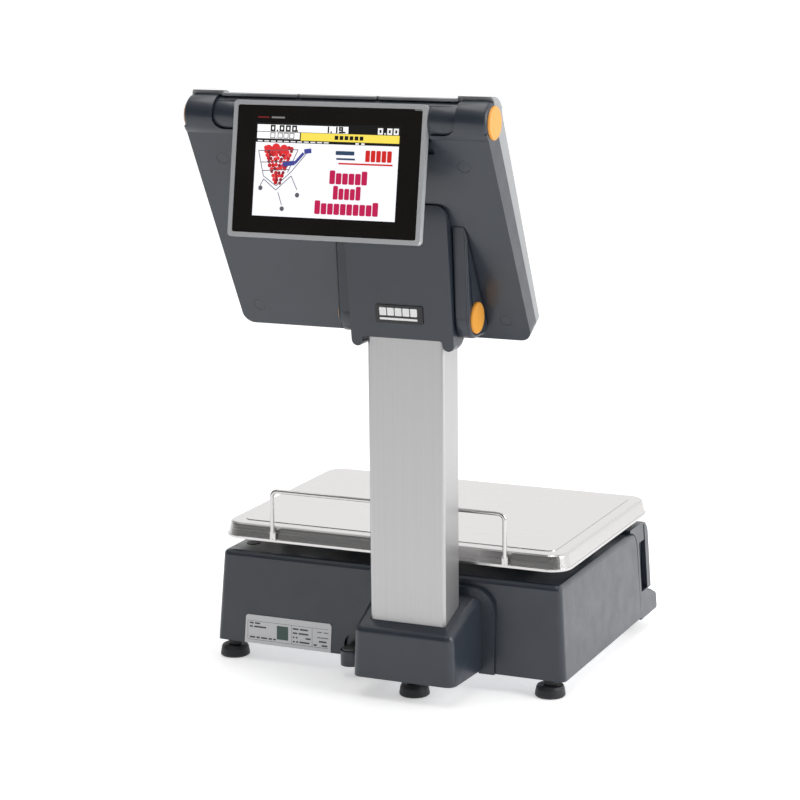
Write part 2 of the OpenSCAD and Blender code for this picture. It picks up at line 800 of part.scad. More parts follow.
// Side view of the neck: a wedge between the leaning front and the head's back face
module neck_side() {
    gap = 1.2;
    polygon([[neck_face_y(357.5), 357.5], [neck_face_y(neck_top), neck_top],
        [head_back_y(neck_top) + gap, neck_top], [head_back_y(394.3) + gap, 394.3], [93.6, 368],
        [113, 368], [126, 357.5]]);
}

// Front view of the neck: round upper corners, a leg on each side of the column
module neck_front() {
    difference() {
        union() {
            translate([column_x - neck_half, 357.5 + 9]) square([2 * neck_half, neck_top - 357.5 - 19]);
            translate([column_x - neck_half + 10, 357.5 + 9]) square([2 * neck_half - 20, neck_top - 357.5 - 9]);
            for (s = [-1, 1]) {
                translate([column_x + s * (neck_half - 10), neck_top - 10]) circle(r = 10);
                translate([column_x + s * (neck_half - 6), 357.5 + 6]) circle(r = 6);
                translate([column_x + s * (neck_half - 6) - 6, 357.5 + 6]) square([12, 5]);
            }
        }
        translate([column_x - 43, 350]) square([86, 14]);
        translate([column_x - 39, 350]) square([78, 17.5]);
        for (s = [-1, 1]) translate([column_x + s * 39, 363.5]) circle(r = 4);
    }
}

// The neck's shell, both covers together
module neck_shell() {
    difference() {
        intersection() {
            along_x(column_x - neck_half, column_x + neck_half) neck_side();
            along_y(60, 200) neck_front();
        }
        intersection() {
            along_x(column_x - neck_half + wall, column_x + neck_half - wall) offset(delta = -wall) neck_side();
            along_y(60, 200) offset(delta = -wall) neck_front();
        }
        block([column_x - column_w / 2 - 0.4, column_back - 0.4, 340],
            [column_x + column_w / 2 + 0.4, column_front + 0.4, 396]);
        block([column_x - column_w / 2 - 0.4, 80, 340], [column_x + column_w / 2 + 0.4, column_front, 366]);
        rod_x(column_x - 70, column_x + 70, 8.3, pivot);
    }
}

// Everything in front of the joint between the neck's two covers
module neck_split(shift) {
    depth = 10;
    along_x(column_x - 80, column_x + 80) polygon([[neck_face_y(330) - depth + shift, 330],
        [neck_face_y(520) - depth + shift, 520], [260, 520], [260, 330]]);
}

module neck_front_cover() {
    color(dark) on_feet() intersection() {
        neck_shell();
        neck_split(0.15);
    }
}

module neck_rear_cover() {
    color("#3a404b") on_feet() difference() {
        neck_shell();
        neck_split(-0.15);
    }
}

module badge() {
    color("#121316") on_feet()
    translate([column_x + 1, neck_face_y(392.3), 392.3]) rotate([-neck_lean, 0, 0])
        along_y(0.02, 1.2) round_rect(50.5, 18.5, 2);
}

// Side view of a tilt arm: a wedge on the head's back face, round about the pivot
module arm_side() {
    polygon([[head_back_y(482), 482], [head_back_y(375), 375], [97, pivot_z - 20.4],
        [pivot_y, pivot_z - 20.4], [pivot_y + 20.2, pivot_z]]);
    translate(pivot) circle(r = 20.4);
}

module tilt_arm() {
    difference() {
        union() {
            along_x(arm_in, arm_out - 2) arm_side();
            along_x(arm_out - 2.1, arm_out) offset(delta = -1.4) arm_side();
        }
        rod_x(arm_in - 1, arm_out - 3, 6.03, pivot);
        rod_x(arm_out - 3.1, arm_out + 1, 15.5, pivot);
    }
}

module tilt_arm_left() color(dark) on_feet() translate([column_x, 0, 0]) tilt_arm();
module tilt_arm_right() color(dark) on_feet() translate([column_x, 0, 0]) mirror([1, 0, 0]) tilt_arm();

module tilt_shaft() color(steel) on_feet() rod_x(column_x - arm_out + 3.1, column_x + arm_out - 3.1, 6, pivot);

module arm_caps() {
    color(orange) on_feet()
    both_arms() {
        rod_x(arm_out - 3, arm_out + 1.2, 15.4, pivot);
        rod_x(arm_out + 1.1, arm_out + 2, 14.6, pivot);
    }
}

// ---------- head ----------

// Line between the dark shell and the light bezel, and everything behind it
module shell_zone(shift) {
    polygon([[-17.4 + shift, -240], [-23 + shift, 10], [-28.4 + shift, 34.6], [-28.4 + shift, 60], [20, 60], [20, -240]]);
}

// Side view of the whole head
module head_side(r, inset) {
    polygon([[-inset, -head_len + inset], [-inset, barrel[1]], [-40.5 + inset, barrel[1]],
        [-27 + inset, -head_len + inset + 5], [-24 + inset, -head_len + inset]]);
    translate(barrel) circle(r = r);
}

// Back view of the head: round lower corners, smaller round upper ones
module head_plan(top, corner) {
    half = head_w / 2;
    low = -head_len;
    translate([-half, low + 12]) square([2 * half, top - low - 12 - corner]);
    translate([-half + 12, low]) square([2 * half - 24, 20]);
    translate([-half + corner, top - 30]) square([2 * (half - corner), 30]);
    for (s = [-1, 1]) {
        translate([s * (half - 12), low + 12]) circle(r = 12);
        translate([s * (half - corner), top - corner]) circle(r = corner);
    }
}

// Waste outside the rounded rim at each end of the barrel, over its upper half
module barrel_rim() {
    rim = 4.5;
    both_sides() translate([head_w / 2 - rim, barrel[0], barrel[1]]) rotate([0, 90, 0]) rotate([0, 0, 90])
        rotate_extrude(angle = 180) polygon([for (a = [0 : 15 : 90]) [barrel_r - rim + rim * cos(a), rim * sin(a)],
            [barrel_r - rim, rim + 2], [barrel_r + 3, rim + 2], [barrel_r + 3, 0]]);
}

// Opening for the display's barrel, seen from the back
module barrel_recess() {
    translate([-recess_half, 27]) square([2 * recess_half, 40]);
    translate([-recess_half + 13, 14]) square([2 * recess_half - 26, 40]);
    for (s = [-1, 1]) translate([s * (recess_half - 13), 27]) circle(r = 13);
}

module head_back_shell() {
    half = head_w / 2;
    color(dark) on_feet() in_head()
    difference() {
        union() {
            difference() {
                intersection() {
                    along_x(-half, half) intersection() {
                        head_side(barrel_r, 0);
                        shell_zone(0.15);
                    }
                    along_y(-60, 20) head_plan(40, 5);
                }
                along_x(-half + wall + 2, half - wall - 2) head_side(barrel_r - wall, wall);
                barrel_rim();
            }
            // ribs that hold the display's axles
            both_sides() along_x(recess_half + 1, recess_half + 6) intersection() {
                translate(barrel) circle(r = barrel_r - 1);
                shell_zone(0.3);
            }
            // thicker wall under the pocket behind the display
            block([-96, -8, -14], [100, -2, 20]);
            block([-104, -6, -14], [108, -2, 20]);
        }
        // barrel recess and the pocket behind the display's lower edge
        along_y(-60, 30) barrel_recess();
        rod_x(-recess_half, recess_half, barrel_r - 0.6, barrel);
        block([-91.5, -4.6, -8], [95.5, 10, 20]);
        block([-100.4, -2.6, -8], [104.4, 10, 20]);
        // display axles
        both_sides() rod_x(recess_half - 1, recess_half + 7, 4, barrel);
        // seats of the orange caps
        both_sides() rod_x(half - 1.6, half + 5, cap_r + 0.1, barrel);
        // seats of the screw plugs
        for (p = plug_places) translate([p[0], -1.5, p[1]]) rotate([-90, 0, 0]) cylinder(r = 6.4, h = 5);
    }
}
plug_places = [[127.5, -21], [-127.5, -21], [135.4, -202], [-135.4, -202]];

module screw_plugs() {
    color("#353b46") on_feet() in_head()
    for (p = plug_places) translate([p[0], -1.5, p[1]]) rotate([-90, 0, 0]) cylinder(r = 6.2, h = 1.4);
}

module head_front_bezel() {
    half = head_w / 2;
    color(grey) on_feet()
    difference() {
        in_head() difference() {
            intersection() {
                union() {
                    along_x(-half, half) difference() {
                        head_side(barrel_r + 1.9, 0);
                        shell_zone(-0.15);
                    }
                    // raised ends of the top edge
                    both_sides() along_x(lip_half, half) difference() {
                        translate(barrel) circle(r = barrel_r + 3.9);
                        shell_zone(-0.15);
                        translate([barrel[0], barrel[1] - 30]) square([40, 28]);
                        translate([-60, -20]) square([80, 20 + barrel[1]]);
                    }
                    // lip over the display's barrel
                    along_x(-lip_half, lip_half) intersection() {
                        translate(barrel) circle(r = barrel_r + 1.9);
                        translate([-40, 30]) square([40 + lip_y, 20]);
                    }
                }
                along_y(-60, 20) head_plan(42.5, 10);
            }
            along_x(-half + wall, half - wall) head_side(barrel_r - 1, wall);
            along_x(-recess_half, recess_half) translate(barrel) circle(r = barrel_r - 1.2);
            both_sides() rod_x(half - 1.6, half + 5, cap_r + 0.1, barrel);
            // two small clip notches in the top lip
            for (x = [-41.5, 41.5]) block([x - 1.4, -29.8, 30], [x + 1.4, -20, 60]);
        }
        // window over the operator's display and seat of the keyboard
        in_face() translate([0, 5, -36]) along_y(-10, 0) round_rect(236, 62, 4);
        in_face() translate([0, 0.6, -36]) along_y(-5, 0) round_rect(250, 76, 6);
        in_face() translate([0, 0.6, -150]) along_y(-5, 0) round_rect(292, 132, 6);
    }
}

module operator_window() {
    color("#15171a") on_feet() in_face() translate([0, 0.5, -36]) along_y(-0.9, 0) round_rect(249.4, 75.4, 5.8);
}

module operator_lcd() {
    color("#8fb0a0") on_feet() in_face() block([-112, 1, -63], [112, 6.6, -9]);
}

module keyboard() {
    color("#e4e6e8") on_feet() in_face() {
        translate([0, 0.5, -150]) along_y(-0.9, 0) round_rect(291.4, 131.4, 5.8);
        for (row = [0 : 6], col = [0 : 12])
            translate([-126 + col * 21, -0.35, -150 + 51 - row * 17]) along_y(-0.5, 0) square([17, 13], center = true);
    }
}

module main_board() {
    color("#2c5a3c") on_feet() in_head() union() {
        block([-100, -12, -150], [100, -10.4, -40]);
        block([-40, -17, -110], [0, -11.9, -75]);
        block([30, -15, -130], [60, -11.9, -100]);
        block([-90, -18, -148], [-60, -11.9, -132]);
        for (x = [-96, 92], z = [-146, -48]) block([x, -10.5, z], [x + 4, -2.8, z + 4]);
    }
}

module barrel_caps() {
    color(orange) on_feet() in_head() both_sides() {
        rod_x(head_w / 2 - 1.6, head_w / 2 + 1.1, cap_r, barrel);
        rod_x(head_w / 2 + 1, head_w / 2 + 1.8, cap_r - 0.8, barrel);
    }
}

module display_axles() {
    color(steel) on_feet() in_head() both_sides() rod_x(recess_half - 8, recess_half + 6, 4, barrel);
}

// ---------- customer display ----------

module display_barrel() {
    r = barrel_r - 2.4;
    color("#363c47") on_feet()
    difference() {
        in_head() difference() {
            rod_x(-recess_half + 0.5, recess_half - 0.5, r, barrel);
            rod_x(-recess_half + 9, recess_half - 9, r - 3, barrel);
            both_sides() rod_x(recess_half - 10, recess_half + 1, 4.05, barrel);
        }
        in_display() block([-display_w / 2 - 0.3, -7.05, -80], [display_w / 2 + 0.3, 20, 80]);
    }
}

module display_housing() {
    color("#363c47") on_feet() in_display()
    difference() {
        along_x(-90, 90) polygon([[-7, -60], [-13, -59], [-19, -50], [-19, -6], [-8.6, 28], [-7, 30]]);
        along_x(-87, 87) polygon([[-6, -57], [-12, -56.5], [-16.5, -49], [-16.5, -7], [-8, 22], [-6, 22]]);
        rod_x(-120, 120, barrel_r - 2.35, display_axis);
        for (x = [-70 : 10 : 70]) block([x - 2, -25, -40], [x + 2, -12, -14]);
    }
}

module display_frame() {
    color("#bfc1c3") on_feet() in_display()
    union() {
        difference() {
            along_y(-7, 0) round_rect(display_w, display_h, 4);
            along_y(-5.4, 1) round_rect(display_w - 9, display_h - 9, 2);
        }
    }
}

module display_panel() {
    color("#16171a") on_feet() in_display() {
        along_y(-1.8, -0.4) round_rect(display_w - 9.3, display_h - 9.3, 1.9);
        along_y(-5.2, -1.9) square([165, 100], center = true);
    }
}

base_housing();
base_pan();
front_module();
front_door();
door_pins();
rating_plate();
level_cup();
level_vial();
top_plug();
foot_inserts();
base_screws();
load_cell();
load_cell_mount();
platter_spider();
platter_bumpers();
platter();
guard_rail();
foot_1();
foot_2();
foot_3();
foot_4();
foot_5();
printer_chassis();
print_head();
platen_roller();
printer_motor();
motor_pinion();
roll_axle();
paper_roll();
power_supply();
base_board();
mains_inlet();
power_rocker();
column_bracket();
column_screws();
column_foot_cover();
column_tube();
column_harness();
tilt_bracket();
tilt_bushes();
neck_rear_cover();
neck_front_cover();
badge();
tilt_shaft();
tilt_arm_left();
tilt_arm_right();
arm_caps();
head_back_shell();
head_front_bezel();
barrel_caps();
screw_plugs();
main_board();
operator_lcd();
operator_window();
keyboard();
display_axles();
display_barrel();
display_housing();
display_frame();
display_panel();
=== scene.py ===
"""Looks of the retail price scale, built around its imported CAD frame. Lengths are in metres."""
import json
import math
import random

import bmesh
import bpy
from mathutils import Matrix, Vector


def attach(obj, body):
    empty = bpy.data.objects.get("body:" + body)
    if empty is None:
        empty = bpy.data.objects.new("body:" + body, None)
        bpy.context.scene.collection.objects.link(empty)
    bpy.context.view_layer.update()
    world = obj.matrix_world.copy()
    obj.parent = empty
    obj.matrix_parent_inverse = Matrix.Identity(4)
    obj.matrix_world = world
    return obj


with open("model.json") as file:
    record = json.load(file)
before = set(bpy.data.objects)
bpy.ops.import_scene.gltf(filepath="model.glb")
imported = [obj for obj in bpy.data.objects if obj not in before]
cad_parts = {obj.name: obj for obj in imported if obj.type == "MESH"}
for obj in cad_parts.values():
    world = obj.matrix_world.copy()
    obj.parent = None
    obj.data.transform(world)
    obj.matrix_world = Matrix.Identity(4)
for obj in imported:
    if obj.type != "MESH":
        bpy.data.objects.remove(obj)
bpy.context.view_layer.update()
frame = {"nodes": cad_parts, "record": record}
NODES = frame["nodes"]
MM = 0.001
TAU = 2 * math.pi


# ---------------------------------------------------------------- camera, light and floor

# The view's direction and roll in degrees, its distance and its lens in millimetres
VIEW_AZIMUTH, VIEW_ELEVATION, VIEW_ROLL = 24.14, 11.71, -0.56
VIEW_DISTANCE, VIEW_LENS = 2.44975, 107.45
# The point that the view is built round, and how far the picture's centre is from it
VIEW_POINT = (0, 0.0345, 0.353)
VIEW_RIGHT, VIEW_UP = -0.0008, -0.06635


def make_camera():
    """The photograph's view: from the customer's side, a little above the scale."""
    azimuth, elevation, roll = (math.radians(angle) for angle in (VIEW_AZIMUTH, VIEW_ELEVATION, VIEW_ROLL))
    back = Vector((-math.sin(azimuth) * math.cos(elevation), math.cos(azimuth) * math.cos(elevation),
                   math.sin(elevation)))
    right = Vector((-math.cos(azimuth), -math.sin(azimuth), 0))
    up = back.cross(right)
    target = Vector(VIEW_POINT) + right * VIEW_RIGHT + up * VIEW_UP
    turned_right = right * math.cos(roll) + up * math.sin(roll)
    turned_up = up * math.cos(roll) - right * math.sin(roll)
    data = bpy.data.cameras.new("view")
    data.lens = VIEW_LENS
    data.sensor_width = 36
    data.clip_start = 0.05
    data.clip_end = 30
    camera = bpy.data.objects.new("view", data)
    bpy.context.scene.collection.objects.link(camera)
    turn = Matrix((turned_right, turned_up, back)).transposed().to_4x4()
    camera.matrix_world = Matrix.Translation(target + back * VIEW_DISTANCE) @ turn
    bpy.context.scene.camera = camera


def area_light(name, place, aim, size, power):
    data = bpy.data.lights.new(name, "AREA")
    data.shape = "RECTANGLE"
    data.size, data.size_y = size
    data.energy = power
    light = bpy.data.objects.new(name, data)
    bpy.context.scene.collection.objects.link(light)
    light.location = place
    light.rotation_euler = (Vector(aim) - Vector(place)).to_track_quat("-Z", "Y").to_euler()


# Brightness of the surroundings: the customer's side, the operator's side and overhead
WORLD_FRONT, WORLD_BACK, WORLD_TOP = 0.12, 1.15, 0.60
# How the bright side leans across x
WORLD_SIDE = -0.20


def make_world():
    """A white studio: bright behind the scale and overhead, dimmer on the customer's side."""
    world = bpy.data.worlds.new("studio")
    bpy.context.scene.world = world
    world.use_nodes = True
    tree = world.node_tree
    background = tree.nodes["Background"]

    def math_node(operation, *values):
        node = tree.nodes.new("ShaderNodeMath")
        node.operation = operation
        for socket, value in zip(node.inputs, values):
            if isinstance(value, (int, float)):
                socket.default_value = value
            else:
                tree.links.new(value, socket)
        return node.outputs[0]

    def brightness(value, start, end, low, high):
        node = tree.nodes.new("ShaderNodeMapRange")
        node.interpolation_type = "SMOOTHSTEP"
        for socket, number in zip(("From Min", "From Max", "To Min", "To Max"), (start, end, low, high)):
            node.inputs[socket].default_value = number
        tree.links.new(value, node.inputs["Value"])
        return node.outputs["Result"]

    direction = tree.nodes.new("ShaderNodeTexCoord").outputs["Generated"]
    split = tree.nodes.new("ShaderNodeSeparateXYZ")
    tree.links.new(direction, split.inputs[0])
    toward_back = math_node("MULTIPLY_ADD", split.outputs["Y"], -0.95,
                            math_node("MULTIPLY", split.outputs["X"], WORLD_SIDE))
    behind = brightness(toward_back, -0.25, 0.55, WORLD_FRONT, WORLD_BACK)
    overhead = brightness(split.outputs["Z"], 0.30, 0.95, 0.0, WORLD_TOP)
    tree.links.new(math_node("MAXIMUM", behind, overhead), background.inputs["Strength"])
    background.inputs["Color"].default_value = (1.0, 1.0, 1.0, 1)


def make_studio():
    make_world()
    area_light("key", (-2.6, 0.2, 1.5), (0, 0, 0.3), (1.4, 1.8), 38)
    area_light("top", (0.2, 0.2, 2.6), (0, 0, 0.2), (2.0, 1.6), 22)
    bpy.ops.mesh.primitive_plane_add(size=40, location=(0, 0, -0.0004))
    floor = bpy.context.object
    floor.name = "floor"
    floor.data.materials.append(plain_floor())
    bpy.context.scene.view_settings.view_transform = "Standard"


# ---------------------------------------------------------------- materials

class Shader:
    """One material's node tree, with short calls for the nodes used here."""

    def __init__(self, name):
        self.material = bpy.data.materials.new(name)
        self.material.use_nodes = True
        self.tree = self.material.node_tree
        self.bsdf = self.tree.nodes["Principled BSDF"]
        self.coords = self.add("ShaderNodeTexCoord").outputs["Object"]

    def add(self, kind, **values):
        node = self.tree.nodes.new(kind)
        for key, value in values.items():
            setattr(node, key, value)
        return node

    def set(self, socket, value):
        self.bsdf.inputs[socket].default_value = value

    def link(self, start, end):
        self.tree.links.new(start, end)

    def stretched(self, scale):
        node = self.add("ShaderNodeMapping")
        node.inputs["Scale"].default_value = scale
        self.link(self.coords, node.inputs["Vector"])
        return node.outputs["Vector"]

    def noise(self, scale, detail=2.0, vector=None):
        node = self.add("ShaderNodeTexNoise")
        node.inputs["Scale"].default_value = scale
        node.inputs["Detail"].default_value = detail
        self.link(vector if vector else self.coords, node.inputs["Vector"])
        return node.outputs["Fac"]

    def ramp(self, factor, low, high, start=0.3, end=0.7):
        """A factor turned into a blend from one colour to another."""
        node = self.add("ShaderNodeValToRGB")
        node.color_ramp.elements[0].position = start
        node.color_ramp.elements[1].position = end
        node.color_ramp.elements[0].color = (*low, 1)
        node.color_ramp.elements[1].color = (*high, 1)
        self.link(factor, node.inputs["Fac"])
        return node.outputs["Color"]

    def spread(self, factor, low, high):
        """A factor mapped to a range of numbers."""
        node = self.add("ShaderNodeMapRange")
        node.inputs["From Min"].default_value = 0.3
        node.inputs["From Max"].default_value = 0.7
        node.inputs["To Min"].default_value = low
        node.inputs["To Max"].default_value = high
        self.link(factor, node.inputs["Value"])
        return node.outputs["Result"]

    def bump(self, height, strength, distance):
        node = self.add("ShaderNodeBump")
        node.inputs["Strength"].default_value = strength
        node.inputs["Distance"].default_value = distance
        self.link(height, node.inputs["Height"])
        self.link(node.outputs["Normal"], self.bsdf.inputs["Normal"])


def shade(colour, factor):
    return tuple(min(1.0, channel * factor) for channel in colour)


# Light that the floor gives off, so that it stays pale up to the horizon
FLOOR_GLOW = 0.42


def plain_floor():
    s = Shader("floor")
    s.link(s.ramp(s.noise(0.8), (0.86, 0.86, 0.86), (0.9, 0.9, 0.9)), s.bsdf.inputs["Base Color"])
    s.set("Roughness", 0.9)
    s.set("Specular IOR Level", 0.1)
    s.set("Emission Color", (1.0, 1.0, 1.0, 1))
    s.set("Emission Strength", FLOOR_GLOW)
    return s.material


def moulded(name, colour, rough=(0.34, 0.44), grain=0.16, variation=0.05, coat=0.0):
    """Injection-moulded plastic with a fine spark-eroded grain and faint flow marks."""
    s = Shader(name)
    broad = s.noise(9, 3)
    blend = s.ramp(broad, shade(colour, 1 - variation), shade(colour, 1 + variation))
    s.link(blend, s.bsdf.inputs["Base Color"])
    s.link(s.spread(s.noise(60, 4), *rough), s.bsdf.inputs["Roughness"])
    s.set("Specular IOR Level", 0.5)
    if coat:
        s.set("Coat Weight", coat)
        s.set("Coat Roughness", 0.16)
    s.bump(s.noise(1700, 2), grain, 0.00012)
    return s.material


def metal(name, colour, rough, grain_scale, strength=0.12, metallic=1.0):
    """Metal with lines along its grain: grain_scale is small along the lines."""
    s = Shader(name)
    lines = s.noise(1, 3, s.stretched(grain_scale))
    s.link(s.ramp(lines, shade(colour, 0.975), shade(colour, 1.025)), s.bsdf.inputs["Base Color"])
    s.link(s.spread(lines, *rough), s.bsdf.inputs["Roughness"])
    s.set("Metallic", metallic)
    s.bump(lines, strength, 0.00006)
    return s.material


def glass_black():
    s = Shader("display_glass")
    s.link(s.ramp(s.noise(14), (0.007, 0.006, 0.005), (0.010, 0.0085, 0.0075)), s.bsdf.inputs["Base Color"])
    s.link(s.spread(s.noise(40), 0.07, 0.11), s.bsdf.inputs["Roughness"])
    s.set("Specular IOR Level", 0.4)
    return s.material


def glowing(name, colour, strength=1.0):
    """A lit part of the screen, with the panel's fine pixel rows in its brightness; also a painted glow on
    strips beyond the picture.
    """
    s = Shader(name)
    rows = s.noise(1, 1, s.stretched((2600, 2600, 2600)))
    s.link(s.ramp(rows, shade(colour, 0.97), colour), s.bsdf.inputs["Emission Color"])
    s.set("Emission Strength", strength)
    s.link(s.ramp(rows, shade(colour, 0.10), shade(colour, 0.12)), s.bsdf.inputs["Base Color"])
    s.set("Roughness", 0.35)
    return s.material


# Colour of the blue-grey moulded covers
DARK = (0.022, 0.029, 0.041)


def make_materials():
    return {
        "dark_plastic": moulded("dark_plastic", DARK, (0.30, 0.40), 0.12, 0.05, 0.22),
        "light_plastic": moulded("light_plastic", (0.32, 0.33, 0.34), (0.38, 0.46), 0.12, 0.02),
        "orange_plastic": moulded("orange_plastic", (0.78, 0.35, 0.05), (0.30, 0.38), 0.08, 0.03),
        "black_plastic": moulded("black_plastic", (0.012, 0.013, 0.016), (0.42, 0.55), 0.2),
        "column_aluminium": metal("column_aluminium", (0.52, 0.515, 0.52), (0.40, 0.44), (500, 500, 3),
                                  0.03, 0.85),
        "stainless": metal("stainless", (0.60, 0.59, 0.585), (0.22, 0.28), (6, 500, 500), 0.03),
        "silver_frame": metal("silver_frame", (0.70, 0.71, 0.73), (0.28, 0.36), (1500, 1500, 1500),
                              0.06, 0.6),
        "screen_glass": glass_black(),
        "clear_glass": moulded("clear_glass", (0.05, 0.055, 0.05), (0.05, 0.10), 0.02),
        "zinc_steel": metal("zinc_steel", (0.62, 0.63, 0.66), (0.30, 0.45), (140, 140, 140), 0.15),
        "cast_alloy": metal("cast_alloy", (0.52, 0.53, 0.55), (0.42, 0.6), (380, 380, 380), 0.3),
        "brass": metal("brass", (0.75, 0.55, 0.25), (0.22, 0.32), (800, 800, 60), 0.1),
        "soft_rubber": moulded("soft_rubber", (0.02, 0.02, 0.021), (0.6, 0.75), 0.3),
        "circuit_board": moulded("circuit_board", (0.03, 0.16, 0.07), (0.3, 0.45), 0.3, 0.25),
        "label_foil": metal("label_foil", (0.50, 0.50, 0.51), (0.35, 0.42), (1800, 300, 300), 0.08, 0.55),
        "badge_black": moulded("badge_black", (0.006, 0.006, 0.008), (0.25, 0.32), 0.04),
        "paper": moulded("paper", (0.86, 0.85, 0.82), (0.7, 0.85), 0.4, 0.02),
        "key_film": moulded("key_film", (0.42, 0.43, 0.45), (0.35, 0.42), 0.1, 0.02),
        "switch_red": moulded("switch_red", (0.35, 0.02, 0.02), (0.25, 0.32), 0.05),
        "bush_plastic": moulded("bush_plastic", (0.74, 0.71, 0.62), (0.4, 0.5), 0.1),
    }


# ---------------------------------------------------------------- CAD nodes

# Radius of the rounding on each moulded or formed node's edges, in millimetres
EDGE_RADIUS = {
    "base_housing": 0.6, "front_module": 1.2, "front_door": 0.9, "level_cup": 1.2, "top_plug": 0.6,
    "platter": 0.5, "column_foot_cover": 1.2, "column_tube": 0.4, "neck_rear_cover": 1.6,
    "neck_front_cover": 2.6, "badge": 0.4, "tilt_arm_left": 1.6, "tilt_arm_right": 1.6, "arm_caps": 0.6,
    "head_back_shell": 1.6, "head_front_bezel": 1.2, "barrel_caps": 0.6, "screw_plugs": 0.3,
    "display_barrel": 0.6, "display_housing": 1.0, "display_frame": 0.8, "display_panel": 0.2,
    "foot_1": 0.6, "foot_2": 0.6, "foot_3": 0.6, "foot_4": 0.6, "foot_5": 0.6, "mains_inlet": 0.6,
    "power_rocker": 0.5, "keyboard": 0.1, "rating_plate": 0.1,
}


def soften(obj, radius_mm):
    """Rounds a CAD node's sharp edges with modifiers, and leaves its mesh as it is."""
    weld = obj.modifiers.new("weld", "WELD")
    weld.merge_threshold = 1e-5
    bevel = obj.modifiers.new("round_edges", "BEVEL")
    bevel.width = radius_mm * MM
    bevel.segments = 3
    bevel.limit_method = "ANGLE"
    bevel.angle_limit = math.radians(32)
    bevel.use_clamp_overlap = True
    bevel.harden_normals = True


def finish_cad_nodes(materials):
    slots = {entry["node"]: entry["material_slot"] for entry in frame["record"]["subparts"]}
    for name, obj in NODES.items():
        obj.data.materials.clear()
        obj.data.materials.append(materials[slots[name]])
        if name in EDGE_RADIUS:
            soften(obj, EDGE_RADIUS[name])


# ---------------------------------------------------------------- printed and lit graphics

def plane_at(x, y, z, tilt_deg):
    """A face's own frame, in millimetres: x along it, y out of it, z up along it."""
    return (Matrix.Translation((x * MM, y * MM, z * MM)) @ Matrix.Rotation(math.radians(tilt_deg), 4, "X")
            @ Matrix.Scale(MM, 4))


# Distance from one printed layer to the next, and a layer's thickness, in millimetres
LAYER_STEP, PRINT_THICKNESS = 0.02, 0.03


class Print:
    """Thin flat shapes on a face, in millimetres. u runs right and v down as its reader sees them."""

    def __init__(self, plane, left, top, right_sign, face):
        self.plane, self.left, self.top, self.sign, self.face = plane, left, top, right_sign, face
        self.shapes = []

    def polygon(self, points):
        self.shapes.append([(self.left + self.sign * u, self.top - v) for u, v in points])

    def box(self, u0, v0, u1, v1, corner=0.0):
        if not corner:
            self.polygon([(u0, v0), (u1, v0), (u1, v1), (u0, v1)])
            return
        points = []
        for cu, cv, start in ((u1 - corner, v1 - corner, 0), (u0 + corner, v1 - corner, 90),
                              (u0 + corner, v0 + corner, 180), (u1 - corner, v0 + corner, 270)):
            for step in range(5):
                turn = math.radians(start + step * 22.5)
                points.append((cu + corner * math.cos(turn), cv + corner * math.sin(turn)))
        self.polygon(points)

    def disc(self, u, v, radius, sides=20):
        self.polygon([(u + radius * math.cos(TAU * k / sides), v + radius * math.sin(TAU * k / sides))
                      for k in range(sides)])

    def stroke(self, start, end, width):
        du, dv = end[0] - start[0], end[1] - start[1]
        length = math.hypot(du, dv)
        nu, nv = -dv / length * width / 2, du / length * width / 2
        self.polygon([(start[0] + nu, start[1] + nv), (end[0] + nu, end[1] + nv),
                      (end[0] - nu, end[1] - nv), (start[0] - nu, start[1] - nv)])

    def digits(self, text, u, v, height, width, thick):
        """Plain seven-stroke numerals. Returns the position after the last one."""
        lit = {"0": "abcdef", "1": "bc", "9": "abcdfg"}
        half = height / 2
        for sign in text:
            if sign == ".":
                self.box(u, v + height - thick, u + thick, v + height)
                u += thick * 1.8
                continue
            strokes = {"a": (0, 0, width, thick), "g": (0, half - thick / 2, width, half + thick / 2),
                       "d": (0, height - thick, width, height), "f": (0, 0, thick, half),
                       "e": (0, half, thick, height), "b": (width - thick, 0, width, half),
                       "c": (width - thick, half, width, height)}
            for name in lit[sign]:
                u0, v0, u1, v1 = strokes[name]
                self.box(u + u0, v + v0, u + u1, v + v1)
            u += width + thick * 0.9
        return u

    def make(self, name, body, material, layer=0):
        """Turns the shapes so far into one piece and forgets them."""
        mesh = bmesh.new()
        low = self.face + LAYER_STEP * (1 + layer)
        for points in self.shapes:
            rings = []
            for depth in (low, low + PRINT_THICKNESS):
                rings.append([mesh.verts.new(self.plane @ Vector((x, -self.sign * depth, z)))
                              for x, z in points])
            mesh.faces.new(rings[0])
            mesh.faces.new(rings[1])
            count = len(points)
            for k in range(count):
                after = (k + 1) % count
                mesh.faces.new((rings[0][k], rings[0][after], rings[1][after], rings[1][k]))
        bmesh.ops.recalc_face_normals(mesh, faces=mesh.faces)
        data = bpy.data.meshes.new(name)
        mesh.to_mesh(data)
        mesh.free()
        data.materials.append(material)
        obj = bpy.data.objects.new(name, data)
        bpy.context.scene.collection.objects.link(obj)
        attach(obj, body)
        self.shapes = []
        return obj


